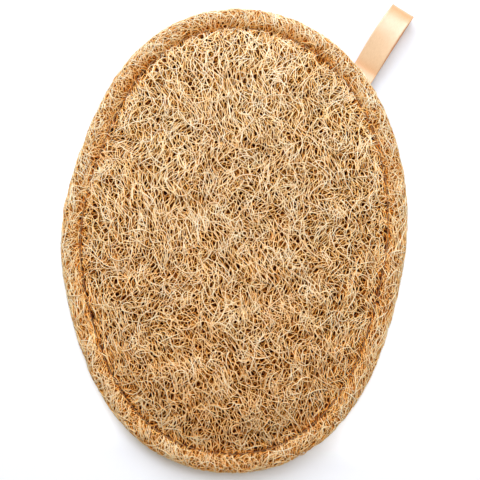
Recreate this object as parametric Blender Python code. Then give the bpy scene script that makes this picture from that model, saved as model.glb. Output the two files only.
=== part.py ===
"""Oval loofah scrubbing pad with a terry back and a satin hanging loop.

The pad lies flat on its terry back with the loofah face up. The origin is the centre of the flat
back, +Y runs along the oval's long axis, +X across it and +Z out of the loofah face.
An inset is a distance measured inwards from the pad's outer edge, square to that edge.
"""
import math

import bmesh
import bpy
import numpy as np

MM = 0.001

# Oval outline
LENGTH = 178.0 * MM
WIDTH = 130.8 * MM
SQUARENESS = 2.07
EDGE_WAVES = (
    (3, 0.47 * MM, 132.0),
    (4, 0.47 * MM, 75.0),
    (5, 0.27 * MM, 172.0),
    (6, 0.37 * MM, 3.0),
)

# Padded section, whose thickness is taken to the middle of the lumps
THICKNESS = 19.5 * MM
CROWN_FULLNESS = 3.2
SQUEEZED_SHARE = 0.09
STITCH_INSET = 7.5 * MM
GROOVE_DEPTH = 2.2 * MM
FOLD_PAST_STITCHES = 2.0 * MM
FLAT_BACK_INSET = 12.5 * MM
TERRY_EDGE_INSET = 0.3 * MM
RIM_SAG = 0.35 * MM

# Soft lumps of the loofah mat: their height, how far inside the groove they start, and the level waves
# that add up to them, each with its spacing, heading and phase
LUMP_HEIGHT = 0.22 * MM
LUMP_START = 5.0 * MM
LUMP_WAVES = (
    (29.0 * MM, 14.0, 60.0),
    (25.0 * MM, 75.0, 210.0),
    (22.0 * MM, 131.0, 330.0),
    (19.0 * MM, 43.0, 120.0),
    (17.0 * MM, 104.0, 20.0),
    (16.0 * MM, 163.0, 250.0),
)

# Thickness of each layer where it lies free, in the rolled rim, folded in at the seam and stitched down
LOOFAH_FREE = 3.0 * MM
LOOFAH_ROLLED = 2.0 * MM
LOOFAH_FOLDED = 1.1 * MM
LOOFAH_STITCHED = 1.6 * MM
TERRY_FREE = 1.7 * MM
TERRY_ROLLED = 1.4 * MM
TERRY_FOLDED = 1.0 * MM
TERRY_STITCHED = 1.3 * MM

# Sewing
THREAD = 0.5 * MM
STITCH_PITCH = 5.0 * MM
STITCH_RISE = 0.25 * MM
SEAM_THREAD_INSET = 0.75 * MM
SEAM_NOTCH_DEPTH = 1.9 * MM

# Hanging loop, with headings counted from +X towards +Y
RIBBON_WIDTH = 9.5 * MM
RIBBON = 0.35 * MM
LOOP_REACH = 28.8 * MM
LOOP_EYE = 6.5 * MM
LOOP_DRIFT = 0.6 * MM
LOOP_HEADING = math.radians(61.2)
LOOP_PLACE = math.radians(56.5)
HINGE_OUTSET = 1.1 * MM
TAIL_LENGTH = 7.5 * MM

# Clear space between layers that touch in the sewn pad
GAP = 0.3 * MM

# Counts of facets, the rings of the crown that take twice the segments and those that don't, and the
# rings that the foam shares with the loofah's underside
SEGMENTS = 40
LOOP_STEPS = 18
FINE_SHARES = (0.03, 0.07, 0.12, 0.18, 0.25, 0.33, 0.41)
PLAIN_SHARES = (0.49, 0.57, 0.65, 0.73, 0.82, 0.91)
UNDER_SHARES = (SQUEEZED_SHARE, 0.2, 0.4, 0.7)

# Heights of the layers down at the stitching, stacked up from the floor
groove_half_width = THREAD / 2 + GAP
back_stitched_low = THREAD + STITCH_RISE + 1.5 * GAP
back_stitched_top = back_stitched_low + TERRY_STITCHED
back_fold_low = back_stitched_top + GAP
back_fold_top = back_fold_low + TERRY_FOLDED
seam_height = back_fold_top + GAP / 2
face_fold_low = back_fold_top + GAP
face_fold_top = face_fold_low + LOOFAH_FOLDED
face_stitched_low = face_fold_top + GAP
groove_floor = face_stitched_low + LOOFAH_STITCHED
rim_top = groove_floor + GROOVE_DEPTH

# Insets and heights that follow from them
groove_outer = STITCH_INSET - groove_half_width
groove_inner = STITCH_INSET + groove_half_width
rim_middle = groove_outer * 0.6
fold_end = STITCH_INSET + FOLD_PAST_STITCHES
foam_edge = fold_end + 2 * GAP
seam_lip = THREAD / 2 + 1.5 * GAP
rim_widest = seam_height + seam_lip + GAP
tail_stack = 2 * RIBBON + GAP


def edge_radius(angle):
    """Distance of the outer edge from the centre: a squared ellipse plus a few small waves."""
    across = np.abs(np.cos(angle)) * 2 / WIDTH
    along = np.abs(np.sin(angle)) * 2 / LENGTH
    radius = (across**SQUARENESS + along**SQUARENESS) ** (-1 / SQUARENESS)
    for count, size, phase in EDGE_WAVES:
        radius = radius + size * np.cos(count * angle - math.radians(phase))
    return radius


def edge_normal(angle):
    """Heading of the outer edge's outward normal."""
    step = 1e-4
    slope = (edge_radius(angle + step) - edge_radius(angle - step)) / (2 * step)
    return angle - np.arctan2(slope, edge_radius(angle))


def inset_radius(angle, inset):
    """Distance from the centre of the curve that runs at this inset."""
    return edge_radius(angle) - inset / np.cos(edge_normal(angle) - angle)


def even_angles(count, inset, start=0.0, spare=0.0, closed=True):
    """Angles of points that lie evenly along an inset curve, leaving spare free on both sides of start."""
    fine = start + np.linspace(0, 2 * np.pi, 4001)
    radius = inset_radius(fine, inset)
    x = radius * np.cos(fine)
    y = radius * np.sin(fine)
    run = np.concatenate([[0], np.cumsum(np.hypot(np.diff(x), np.diff(y)))])
    wanted = np.linspace(spare, run[-1] - spare, count, endpoint=not closed)
    return np.interp(wanted, run, fine)


def inset_length(inset):
    """Length of the closed curve at this inset."""
    angle = np.linspace(0, 2 * np.pi, 4001)
    radius = inset_radius(angle, inset)
    return np.hypot(np.diff(radius * np.cos(angle)), np.diff(radius * np.sin(angle))).sum()


def crown_radius(angle, share):
    """Distance from the centre, share of the way from the groove to the centre."""
    return inset_radius(angle, groove_inner) * (1 - share)


def crown_top(angle, radius):
    """Height of the loofah face, which rises from the groove equally steeply all round."""
    groove = inset_radius(angle, groove_inner)
    lean = np.cos(edge_normal(angle) - angle)
    power = CROWN_FULLNESS * groove * lean / (WIDTH / 2 - groove_inner)
    return groove_floor + (THICKNESS - groove_floor) * (1 - (radius / groove) ** power)


def crown_lumps(angle, radius):
    """Height of the soft lumps on the loofah face: crossing waves that die out towards the groove."""
    x = radius * np.cos(angle)
    y = radius * np.sin(angle)
    height = np.zeros(np.shape(x))
    for spacing, heading, phase in LUMP_WAVES:
        along = x * math.cos(math.radians(heading)) + y * math.sin(math.radians(heading))
        height = height + np.sin(2 * np.pi * along / spacing + math.radians(phase))
    inside = (inset_radius(angle, groove_inner) - radius) * np.cos(edge_normal(angle) - angle)
    return LUMP_HEIGHT * height * (1 - np.exp(-((inside / LUMP_START) ** 2)))


def crown_under(angle, radius):
    """Height of the loofah face's underside, whose full thickness the stitching squeezes."""
    share = 1 - radius / inset_radius(angle, groove_inner)
    squeeze = np.clip(1 - share / SQUEEZED_SHARE, 0, 1)
    return crown_top(angle, radius) - LOOFAH_FREE + (LOOFAH_FREE - LOOFAH_STITCHED) * squeeze


def quarter(middle, half_width, half_height, turns):
    """Points on an ellipse as (inset, height), with turns in degrees up from its level side."""
    return [
        (
            middle[0] + half_width * math.cos(math.radians(turn)),
            middle[1] + half_height * math.sin(math.radians(turn)),
        )
        for turn in turns
    ]


def linear(colour):
    """Linear red, green, blue and alpha of an sRGB hex colour."""
    values = [int(colour[i : i + 2], 16) / 255 for i in (1, 3, 5)]
    return [v / 12.92 if v < 0.04045 else ((v + 0.055) / 1.055) ** 2.4 for v in values] + [1]


def make_material(name, colour, roughness):
    material = bpy.data.materials.new(name)
    material.use_nodes = True
    shader = material.node_tree.nodes["Principled BSDF"]
    shader.inputs["Base Color"].default_value = linear(colour)
    shader.inputs["Roughness"].default_value = roughness
    shader.inputs["Metallic"].default_value = 0
    material.diffuse_color = linear(colour)
    return material


def add_object(name, data, material):
    piece = bpy.data.objects.new(name, data)
    bpy.context.scene.collection.objects.link(piece)
    data.materials.append(material)
    return piece


def mesh_from(bm, name, smooth_angle=50):
    bmesh.ops.recalc_face_normals(bm, faces=bm.faces)
    mesh = bpy.data.meshes.new(name)
    bm.to_mesh(mesh)
    bm.free()
    mesh.shade_smooth()
    mesh.set_sharp_from_angle(angle=math.radians(smooth_angle))
    return mesh


def join_rings(bm, lower, upper):
    """Faces between two rings with as many points, or with twice as many in one as in the other."""
    if len(lower) > len(upper):
        lower, upper = upper, lower
    for i in range(len(lower)):
        k = (i + 1) % len(lower)
        if len(lower) == len(upper):
            bm.faces.new((lower[i], lower[k], upper[k], upper[i]))
            continue
        bm.faces.new((lower[i], upper[2 * i + 1], upper[2 * i]))
        bm.faces.new((lower[i], lower[k], upper[2 * i + 1]))
        bm.faces.new((lower[k], upper[2 * k], upper[2 * i + 1]))


def ring_solid(name, rings, angles, first_height=None, last_height=None):
    """Closed solid through rings of (radius, height), whose ends close in a point or a flat face.

    A ring with half as many points as there are angles stands at every second angle.
    """
    bm = bmesh.new()
    loops = []
    for radius, height in rings:
        turns = angles[:: len(angles) // len(radius)]
        height = np.broadcast_to(height, turns.shape)
        places = zip(radius * np.cos(turns), radius * np.sin(turns), height)
        loops.append([bm.verts.new(place) for place in places])
    for lower, upper in zip(loops, loops[1:]):
        join_rings(bm, lower, upper)
    for loop, height in ((loops[0], first_height), (loops[-1], last_height)):
        if height is None:
            bm.faces.new(loop)
            continue
        pole = bm.verts.new((0, 0, height))
        for i in range(len(loop)):
            bm.faces.new((loop[i], loop[(i + 1) % len(loop)], pole))
    return mesh_from(bm, name)


def rim_rings(profile, angles):
    """Rings at the (inset, height) points of a profile."""
    return [(inset_radius(angles, inset), height) for inset, height in profile]


def loofah_face(angles):
    """Loofah mat: lumpy crowned top, stitched groove, rolled rim and the edge folded in at the seam."""
    fine = even_angles(2 * len(angles), 0)
    outside = []
    for turns, shares in ((angles, PLAIN_SHARES[::-1]), (fine, FINE_SHARES[::-1])):
        for share in shares:
            radius = crown_radius(turns, share)
            outside.append((radius, crown_top(turns, radius) + crown_lumps(turns, radius)))
    outside += rim_rings([(groove_inner, groove_floor), (groove_outer, groove_floor)], angles)
    inner_half = groove_outer - rim_middle
    shoulder = quarter((rim_middle, groove_floor), inner_half, GROOVE_DEPTH, (25, 55, 90))
    edge = quarter((rim_middle, rim_widest), rim_middle, rim_top - rim_widest, (115, 138, 160, 180))
    outside += rim_rings(shoulder + edge, angles)
    fold = [
        (TERRY_EDGE_INSET, seam_height + seam_lip),
        (SEAM_NOTCH_DEPTH, face_fold_low),
        (fold_end, face_fold_low),
        (fold_end, face_fold_top),
    ]
    roll_room = rim_top - LOOFAH_ROLLED - face_fold_top
    corner = (rim_middle, face_fold_top)
    inside = quarter(corner, rim_middle - LOOFAH_ROLLED, roll_room, (180, 135, 90))
    inside += quarter(corner, inner_half, roll_room, (50,))
    inside += [(groove_outer, face_stitched_low)]
    under = []
    for share in (0, SQUEEZED_SHARE / 2, *UNDER_SHARES):
        radius = crown_radius(angles, share)
        under.append((radius, crown_under(angles, radius)))
    rings = outside + rim_rings(fold + inside, angles) + under
    middle = THICKNESS + crown_lumps(0.0, 0.0)
    return ring_solid("loofah_face", rings, fine, middle, THICKNESS - LOOFAH_FREE)


def terry_back(angles):
    """Terry cloth: flat back, stitched channel, rolled rim and the edge folded in at the seam."""
    half = (groove_outer - rim_middle) * 0.75
    channel = (groove_inner + FLAT_BACK_INSET) / 2
    outside = [
        (FLAT_BACK_INSET, 0),
        (channel, back_stitched_low * 0.3),
        (groove_inner, back_stitched_low),
        (groove_outer, back_stitched_low),
        (rim_middle + half, RIM_SAG + (back_stitched_low - RIM_SAG) * 0.35),
    ]
    reach = rim_middle - TERRY_EDGE_INSET
    widest = seam_height - seam_lip - GAP
    outside += quarter((rim_middle, widest), reach, widest - RIM_SAG, (270, 238, 212, 180))
    fold = [
        (TERRY_EDGE_INSET + GAP, seam_height - seam_lip),
        (SEAM_NOTCH_DEPTH, back_fold_top),
        (fold_end, back_fold_top),
        (fold_end, back_fold_low),
    ]
    low = RIM_SAG + TERRY_ROLLED
    corner = (rim_middle, back_fold_low)
    inside = quarter(corner, reach - TERRY_ROLLED, back_fold_low - low, (180, 225, 270))
    inside += [
        (rim_middle + half, low + (back_stitched_top - low) * 0.35),
        (groove_outer, back_stitched_top),
        (groove_inner, back_stitched_top),
        (channel, TERRY_FREE + (back_stitched_top - TERRY_FREE) * 0.3),
        (FLAT_BACK_INSET, TERRY_FREE),
    ]
    return ring_solid("terry_back", rim_rings(outside + fold + inside, angles), angles)


def foam_core(angles):
    """Foam lens that fills the space between the two cloths, inside their folded edges."""
    floor = TERRY_FREE + GAP
    lift = back_stitched_top - TERRY_FREE
    rings = rim_rings([(FLAT_BACK_INSET, floor), (foam_edge, floor + lift)], angles)
    radii = [inset_radius(angles, foam_edge)]
    radii += [crown_radius(angles, share) for share in UNDER_SHARES]
    rings += [(radius, crown_under(angles, radius) - 1.5 * GAP) for radius in radii]
    return ring_solid("foam_core", rings, angles, None, THICKNESS - LOOFAH_FREE - 1.5 * GAP)


def thread_curve(name, points, closed):
    """Round thread along the points."""
    curve = bpy.data.curves.new(name, "CURVE")
    curve.dimensions = "3D"
    curve.bevel_depth = THREAD / 2
    curve.bevel_resolution = 0
    curve.use_fill_caps = not closed
    spline = curve.splines.new("POLY")
    spline.points.add(len(points) - 1)
    for place, point in zip(points, spline.points):
        point.co = (*place, 1)
    spline.use_cyclic_u = closed
    return curve


def stitch_row(name, near, away):
    """Closed row of stitches: near the cloth at each needle hole and lifted away in between."""
    stitches = round(inset_length(STITCH_INSET) / STITCH_PITCH)
    angles = even_angles(stitches * 3, STITCH_INSET)
    radius = inset_radius(angles, STITCH_INSET)
    height = np.where(np.arange(len(angles)) % 3 == 0, near, away)
    points = np.stack([radius * np.cos(angles), radius * np.sin(angles), height], axis=1)
    return thread_curve(name, points, closed=True)


# Hanging loop's frame: outward across the seam, along the seam, and along the ribbon
seam_out = float(edge_normal(LOOP_PLACE))
slant = LOOP_HEADING - seam_out
out = np.array([math.cos(seam_out), math.sin(seam_out)])
seam = np.array([-out[1], out[0]])
reach = np.array([math.cos(LOOP_HEADING), math.sin(LOOP_HEADING)])
side = np.array([-reach[1], reach[0]])
loop_root = edge_radius(LOOP_PLACE) * np.array([math.cos(LOOP_PLACE), math.sin(LOOP_PLACE)])
hinge = loop_root + HINGE_OUTSET / math.cos(slant) * reach
loop_start = tail_stack / 2 + GAP


def seam_row():
    """Thread of the closing seam, open where the ribbon passes through the seam."""
    drift = (HINGE_OUTSET + SEAM_THREAD_INSET) * abs(math.tan(slant))
    spare = RIBBON_WIDTH / 2 / math.cos(slant) + drift + THREAD + GAP
    count = round(inset_length(SEAM_THREAD_INSET) / STITCH_PITCH)
    angles = even_angles(count, SEAM_THREAD_INSET, LOOP_PLACE, spare, closed=False)
    radius = inset_radius(angles, SEAM_THREAD_INSET)
    height = np.full(len(angles), seam_height)
    points = np.stack([radius * np.cos(angles), radius * np.sin(angles), height], axis=1)
    return thread_curve("closing_seam_thread", points, closed=False)


def ribbon_loop():
    """Ribbon from its upper root out to the tip and back to its lower root, seen from the hinge.

    For a turn from 0 to 180 degrees the share of the reach is (1 - cos) / 2, and each leg stands
    off the middle by sin(turn) * sin(turn / 2), which makes a drop with its round end at the tip.
    """
    turns = np.linspace(0, np.pi, LOOP_STEPS)
    widest = 0.77
    stand_off = (LOOP_EYE + RIBBON) / 2 - (RIBBON + GAP) / 2
    height = (RIBBON + GAP) / 2 + stand_off / widest * np.sin(turns) * np.sin(turns / 2)
    share = (1 - np.cos(turns)) / 2
    tip = LOOP_REACH - HINGE_OUTSET / math.cos(slant) - RIBBON / 2
    bm = bmesh.new()
    rows = []
    for q in (-RIBBON_WIDTH / 2, RIBBON_WIDTH / 2):
        start = (loop_start + q * math.sin(slant)) / math.cos(slant)
        along = start + (tip - start) * share
        drift = q + LOOP_DRIFT * np.sin(np.pi * share)
        upper = [(*(u * reach + v * side), z) for u, v, z in zip(along, drift, height)]
        lower = [(*(u * reach + q * side), -z) for u, z in zip(along, height)]
        rows.append([bm.verts.new(place) for place in upper + lower[::-1]])
    for i in range(len(rows[0]) - 1):
        bm.faces.new((rows[0][i], rows[0][i + 1], rows[1][i + 1], rows[1][i]))
    return mesh_from(bm, "hang_loop")


def slanted_prism(name, section, half_width):
    """Prism along the seam, whose section of (outward, height) points follows the ribbon's slant."""
    bm = bmesh.new()
    ends = []
    for edge in (-half_width, half_width):
        places = [
            (*(hinge + n * out + (n * math.tan(slant) + edge) * seam), seam_height + z)
            for n, z in section
        ]
        ends.append([bm.verts.new(place) for place in places])
    for i in range(len(section)):
        k = (i + 1) % len(section)
        bm.faces.new((ends[0][i], ends[0][k], ends[1][k], ends[1][i]))
    bm.faces.new(ends[0])
    bm.faces.new(ends[1])
    return mesh_from(bm, name)


def build():
    for old in list(bpy.data.objects):
        bpy.data.objects.remove(old)
    angles = even_angles(SEGMENTS, 0)
    loofah = make_material("loofah_fibre", "#CFA069", 0.85)
    terry = make_material("cotton_terry", "#EFE3CC", 0.95)
    foam = make_material("polyurethane_foam", "#F2E6B8", 0.9)
    tan_thread = make_material("sewing_thread_tan", "#9A6B3E", 0.6)
    pale_thread = make_material("sewing_thread_cream", "#D8C6A0", 0.6)
    satin = make_material("satin_ribbon", "#F6D3A6", 0.35)
    face = add_object("loofah_face", loofah_face(angles), loofah)
    back = add_object("terry_back", terry_back(angles), terry)
    add_object("foam_core", foam_core(angles), foam)
    lift = THREAD / 2 + GAP
    top_near = groove_floor + lift
    top_row = stitch_row("topstitch_top_thread", top_near, top_near + STITCH_RISE)
    add_object("topstitch_top_thread", top_row, tan_thread)
    back_near = back_stitched_low - lift
    back_row = stitch_row("topstitch_bobbin_thread", back_near, back_near - STITCH_RISE)
    add_object("topstitch_bobbin_thread", back_row, pale_thread)
    add_object("closing_seam_thread", seam_row(), pale_thread.copy())

    loop = add_object("hang_loop", ribbon_loop(), satin)
    loop.location = (*hinge, seam_height)
    wall = loop.modifiers.new("ribbon_thickness", "SOLIDIFY")
    wall.thickness = RIBBON
    wall.offset = 0
    wall.use_even_offset = True

    rounds = np.radians(np.linspace(-90, 90, 7))
    tail_end = -(HINGE_OUTSET + TAIL_LENGTH)
    half = tail_stack / 2
    section = [(half * math.cos(turn), half * math.sin(turn)) for turn in rounds]
    section += [(tail_end, half), (tail_end, -half)]
    half_width = RIBBON_WIDTH / 2 / math.cos(slant)
    tails = slanted_prism("hang_loop_tails", section, half_width)
    add_object("hang_loop_tails", tails, satin.copy())

    slot_high = half + GAP
    slot_section = [
        (tail_end - GAP, -slot_high),
        (HINGE_OUTSET, -slot_high),
        (HINGE_OUTSET, slot_high),
        (tail_end - GAP, slot_high),
    ]
    slot_mesh = slanted_prism("ribbon_slot", slot_section, half_width + GAP / math.cos(slant))
    slot = add_object("ribbon_slot", slot_mesh, satin.copy())
    slot.hide_render = True
    slot.display_type = "WIRE"
    for cloth in (face, back):
        cut = cloth.modifiers.new("ribbon_slot", "BOOLEAN")
        cut.operation = "DIFFERENCE"
        cut.object = slot
        cut.solver = "EXACT"


build()
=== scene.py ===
"""Looks of the oval loofah scrubbing pad: fibre mat, terry back, sewing thread and satin loop.

Lengths are in metres and the frame is the part's own: the pad lies on its flat terry back with the
loofah face up, +Y along the oval and +X across it. An inset is a distance measured inwards from the
outer edge, square to that edge. A cloth's face is laid out on a flat plan, the way a tailor would:
inside the stitching the plan is the view from above, and beyond it the plan's distance from the
centre goes on along the cloth, over the rolled rim and down into the seam.
"""

import math

import bpy
import numpy as np
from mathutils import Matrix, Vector


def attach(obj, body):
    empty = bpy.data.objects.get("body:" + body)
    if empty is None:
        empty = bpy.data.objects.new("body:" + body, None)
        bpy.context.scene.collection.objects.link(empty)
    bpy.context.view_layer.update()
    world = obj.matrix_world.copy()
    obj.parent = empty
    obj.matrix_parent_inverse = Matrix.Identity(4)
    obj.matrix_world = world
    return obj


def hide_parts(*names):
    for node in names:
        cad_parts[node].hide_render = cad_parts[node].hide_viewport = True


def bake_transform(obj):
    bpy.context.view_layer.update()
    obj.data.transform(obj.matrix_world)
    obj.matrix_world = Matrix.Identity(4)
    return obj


MM = 0.001
SCRIPT_SEED = 41

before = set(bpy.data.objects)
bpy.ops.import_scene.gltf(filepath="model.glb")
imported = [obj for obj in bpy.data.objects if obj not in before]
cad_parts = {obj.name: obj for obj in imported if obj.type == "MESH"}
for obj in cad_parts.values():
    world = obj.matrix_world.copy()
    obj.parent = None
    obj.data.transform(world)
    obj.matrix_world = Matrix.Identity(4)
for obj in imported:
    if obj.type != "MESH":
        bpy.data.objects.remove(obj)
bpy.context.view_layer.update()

# Oval outline, the same as the part's
LENGTH = 178.0 * MM
WIDTH = 130.8 * MM
SQUARENESS = 2.07
EDGE_WAVES = (
    (3, 0.47 * MM, 132.0),
    (4, 0.47 * MM, 75.0),
    (5, 0.27 * MM, 172.0),
    (6, 0.37 * MM, 3.0),
)
THICKNESS = 19.5 * MM
CROWN_FULLNESS = 3.2

# Soft lumps of the loofah mat, the same as the part's: spacing, heading and phase of each wave
LUMP_HEIGHT = 0.22 * MM
LUMP_START = 5.0 * MM
LUMP_WAVES = (
    (29.0 * MM, 14.0, 60.0),
    (25.0 * MM, 75.0, 210.0),
    (22.0 * MM, 131.0, 330.0),
    (19.0 * MM, 43.0, 120.0),
    (17.0 * MM, 104.0, 20.0),
    (16.0 * MM, 163.0, 250.0),
)

# Sewn section, as insets and heights of the part
GROOVE_OUTER = 6.95 * MM
STITCH_INSET = 7.5 * MM
GROOVE_INNER = 8.05 * MM
GROOVE_FLOOR = 7.1 * MM
RIM_TOP = 9.3 * MM
RIM_MIDDLE = 4.17 * MM
RIM_WIDEST = 4.95 * MM
SEAM_HEIGHT = 3.95 * MM
FOLD_END = 9.5 * MM
FACE_FOLD = (4.1 * MM, 5.2 * MM)
BACK_FOLD = (2.8 * MM, 3.8 * MM)
FACE_STITCHED_LOW = 5.5 * MM
BACK_STITCHED = (1.2 * MM, 2.5 * MM)
LOOFAH_FREE = 3.0 * MM
LOOFAH_ROLLED = 2.0 * MM
LOOFAH_STITCHED = 1.6 * MM
TERRY_FREE = 1.7 * MM
TERRY_ROLLED = 1.4 * MM
FLAT_BACK_INSET = 12.5 * MM
TERRY_EDGE_INSET = 0.3 * MM
RIM_SAG = 0.35 * MM
FACE_HEM = 4.65 * MM
BACK_RISE = (10.3 * MM, 0.36 * MM)
BACK_DIP = 0.65 * MM
BACK_WIDEST = 2.95 * MM
BACK_HEM = (0.6 * MM, 3.25 * MM)
SEAM_NOTCH = 1.9 * MM
SQUEEZED_SHARE = 0.09
STITCH_PITCH = 5.0 * MM
THREAD = 0.5 * MM
GAP = 0.3 * MM

# Satin ribbon loop, with headings counted from +X towards +Y
RIBBON_WIDTH = 9.5 * MM
RIBBON = 0.35 * MM
LOOP_REACH = 28.8 * MM
LOOP_EYE = 6.5 * MM
LOOP_DRIFT = 0.6 * MM
LOOP_HEADING = math.radians(61.2)
LOOP_PLACE = math.radians(56.5)
HINGE_OUTSET = 1.1 * MM
TAIL_LENGTH = 7.5 * MM
TAIL_SPARE = 0.6 * MM
SEAM_THREAD_INSET = 0.75 * MM
SEAM_PARTING = 0.4 * MM
RIBBON_HOLLOW = 0.1 * MM
RIBBON_WAVE = 0.07 * MM

# The ribbon's section from an edge to its middle: distance from the edge, share of the thickness
RIBBON_SECTION = (
    (0, 0.35),
    (0.12 * MM, 1.05),
    (0.5 * MM, 1.15),
    (0.9 * MM, 0.85),
    (RIBBON_WIDTH / 4, 0.85),
    (RIBBON_WIDTH / 2, 0.85),
)

# Fibre mat: its free depth, the share of it left in the groove, and what the thread does to the mat
MAT_DEPTH = 1.6 * MM
PRESSED = 0.28
RIM_LOOSER = 0.3
STITCH_PAST = GROOVE_INNER - STITCH_INSET
GROOVE_SWELL = 0.65 * MM
HOLE_DIP = 0.75 * MM

# Places along the face cloth beyond the groove's inner side: (start, length) of three rises
RIM_BEGINS = (0, 1.5 * MM)
RIM_LOOSENS = (1.1 * MM, 2.2 * MM)
SEAM_PRESSES = (9.8 * MM, 2.0 * MM)

# The same as (middle, width) of five bells
CROWN_PRESSED = (0, 3.2 * MM)
GROOVE_SWOLLEN = (STITCH_PAST, 1.1 * MM)
# These two bells place painted shade: along the creased groove and on the slope beyond the groove
CREASE_SHADE_BELL = (STITCH_PAST, 0.6 * MM)
SLOPE_SHADE_BELL = (1.8 * MM, 2.4 * MM)
BRIDGE_CREST = (0.5 * MM, 1.2 * MM)

# Changes of a fibre's depth and tone, both 0 to 1, over the mat and round the fibre's three edges.
# The depth carries painted shade: eased on the rim, added in the creased groove, at needle holes
# and on the slope. Painted light raises the tone up the oval, the tone falls on the rim, painted
# shade lowers it on the slope, and each fibre's ridge gets a painted highlight and its two lower
# edges painted shade
RIM_SHADE_EASE = 0.3
CREASE_PAINTED_SHADE = 0.78
HOLE_PAINTED_SHADE = 0.2
SLOPE_PAINTED_SHADE = 0.1
TOP_PAINTED_LIGHT = 0.15
RIM_TONE = 0.06
SLOPE_SHADE_TONE = 0.12
EDGE_HIGHLIGHT_SHADE_TONES = np.array([0.36, -0.2, -0.2])
EDGE_PAINTED_SHADES = np.array([0, 0.6, 0.6])

# Layers of the fibre net from the bottom up: name, seed, turn and tone, then in mm its column, row,
# level, unevenness and fibre width
NETS = (
    ("deep", 11, 0.9, 0.42, (1.5, 1.15, -1.2, 0.1, 0.45)),
    ("low", 12, -0.45, 0.46, (1.45, 1.25, -0.85, 0.1, 0.42)),
    ("middle", 13, 0.45, 0.5, (1.45, 1.4, -0.5, 0.08, 0.41)),
    ("top", 15, -0.15, 0.52, (1.45, 1.75, -0.15, 0.08, 0.43)),
    ("over", 19, 0.6, 0.56, (2.2, 2.6, 0.02, 0.08, 0.42)),
)

# Layers of single fibres: name, seed, steps, pull, curl, spread and tone, then in mm their pitch,
# length, lowest and highest level and width
STRANDS = (
    ("long", 18, 12, 0.15, 190, 0.7, 0.6, (6.0, 11, -0.4, 0.2, 0.46)),
    ("along", 16, 8, 0.2, 140, 0.75, 0.58, (3.1, 8, -0.5, 0.12, 0.44)),
)

# Terry back and sewing thread: length of the pile, and a thread's two plies and their twist
TERRY_PILE = 0.95 * MM
PLY_OFFSET = 0.11 * MM
PLY_RADIUS = 0.145 * MM
PLY_TWIST = 1.3 * MM

# Camera: the photo's size, its scale at this height, and the pad's middle and turn in it
PHOTO_PIXELS = 480
PIXELS_PER_METRE = 2.612 / MM
SCALE_HEIGHT = 5 * MM
PAD_RIGHT = 235.1
PAD_DOWN = 240.2
PAD_ROLL = 0.0693


def rise(value, start, length):
    """0 up to the start, growing evenly to 1 over this length, and 1 beyond it."""
    return np.clip((value - start) / length, 0, 1)


def bell(value, middle, width):
    """1 at the middle, falling smoothly to 0.37 at a width on either side of it."""
    return np.exp(-(((value - middle) / width) ** 2))


def run_along(x, y):
    """Length along a line of points up to each of them."""
    return np.concatenate([[0], np.cumsum(np.hypot(np.diff(x), np.diff(y)))])


def wave_at(x, y, heading, length, phase):
    """Height of a sine wave over the plan, from -1 to 1."""
    return np.sin(2 * np.pi * (x * math.cos(heading) + y * math.sin(heading)) / length + phase)


def random_waves(seed, count, shortest, longest, size):
    """Sine waves as (heading, length, phase, height), whose heights add up to about this size."""
    rng = np.random.default_rng(seed)
    length = rng.uniform(shortest, longest, count)
    heading = rng.uniform(0, 2 * np.pi, count)
    phase = rng.uniform(0, 2 * np.pi, count)
    return list(zip(heading, length, phase, np.full(count, size * math.sqrt(2 / count))))


def ripples(waves, x, y):
    """Smooth random height over the plan: the sum of these waves."""
    return sum(height * wave_at(x, y, *wave) for *wave, height in waves)


def edge_radius(angle):
    """Distance of the outer edge from the centre: a squared ellipse plus a few small waves."""
    across = np.abs(np.cos(angle)) * 2 / WIDTH
    along = np.abs(np.sin(angle)) * 2 / LENGTH
    radius = (across**SQUARENESS + along**SQUARENESS) ** (-1 / SQUARENESS)
    for count, size, phase in EDGE_WAVES:
        radius = radius + size * np.cos(count * angle - math.radians(phase))
    return radius


def edge_normal(angle):
    """Heading of the outer edge's outward normal."""
    step = 1e-4
    slope = (edge_radius(angle + step) - edge_radius(angle - step)) / (2 * step)
    return angle - np.arctan2(slope, edge_radius(angle))


def inset_radius(angle, inset):
    """Distance from the centre of the curve that runs at this inset."""
    return edge_radius(angle) - inset / np.cos(edge_normal(angle) - angle)


def inset_curve(angle, inset):
    """Places (x, y) of the curve that runs at this inset."""
    radius = inset_radius(angle, inset)
    return radius * np.cos(angle), radius * np.sin(angle)


def inset_run(inset, start):
    """Angles once round the curve at this inset, and the length along it up to each of them."""
    angles = start + np.linspace(0, 2 * np.pi, 4001)
    return angles, run_along(*inset_curve(angles, inset))


def inset_length(inset):
    """Length of the closed curve at this inset."""
    return inset_run(inset, 0)[1][-1]


def crown_top(angle, radius):
    """Height of the loofah face: full in the middle, falling to the groove equally steeply all round."""
    groove = inset_radius(angle, GROOVE_INNER)
    lean = np.cos(edge_normal(angle) - angle)
    power = CROWN_FULLNESS * groove * lean / (WIDTH / 2 - GROOVE_INNER)
    return GROOVE_FLOOR + (THICKNESS - GROOVE_FLOOR) * (1 - (radius / groove) ** power)


def crown_lumps(angle, radius):
    """Height of the soft lumps on the loofah face: crossing waves that die out towards the groove."""
    x = radius * np.cos(angle)
    y = radius * np.sin(angle)
    height = np.zeros(np.shape(x))
    for spacing, heading, phase in LUMP_WAVES:
        height = height + wave_at(x, y, math.radians(heading), spacing, math.radians(phase))
    inside = (inset_radius(angle, GROOVE_INNER) - radius) * np.cos(edge_normal(angle) - angle)
    return LUMP_HEIGHT * height * (1 - bell(inside, 0, LUMP_START))


def crown_face(angle, radius):
    """Height of the loofah face with its lumps."""
    return crown_top(angle, radius) + crown_lumps(angle, radius)


def quarter(middle, half_width, half_height, first, last):
    """Points (inset, height) on an ellipse, for turns in degrees counted up from its level side."""
    turns = np.radians(np.linspace(first, last, 24))
    points = [middle[0] + half_width * np.cos(turns), middle[1] + half_height * np.sin(turns)]
    return np.stack(points, axis=1)


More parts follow.
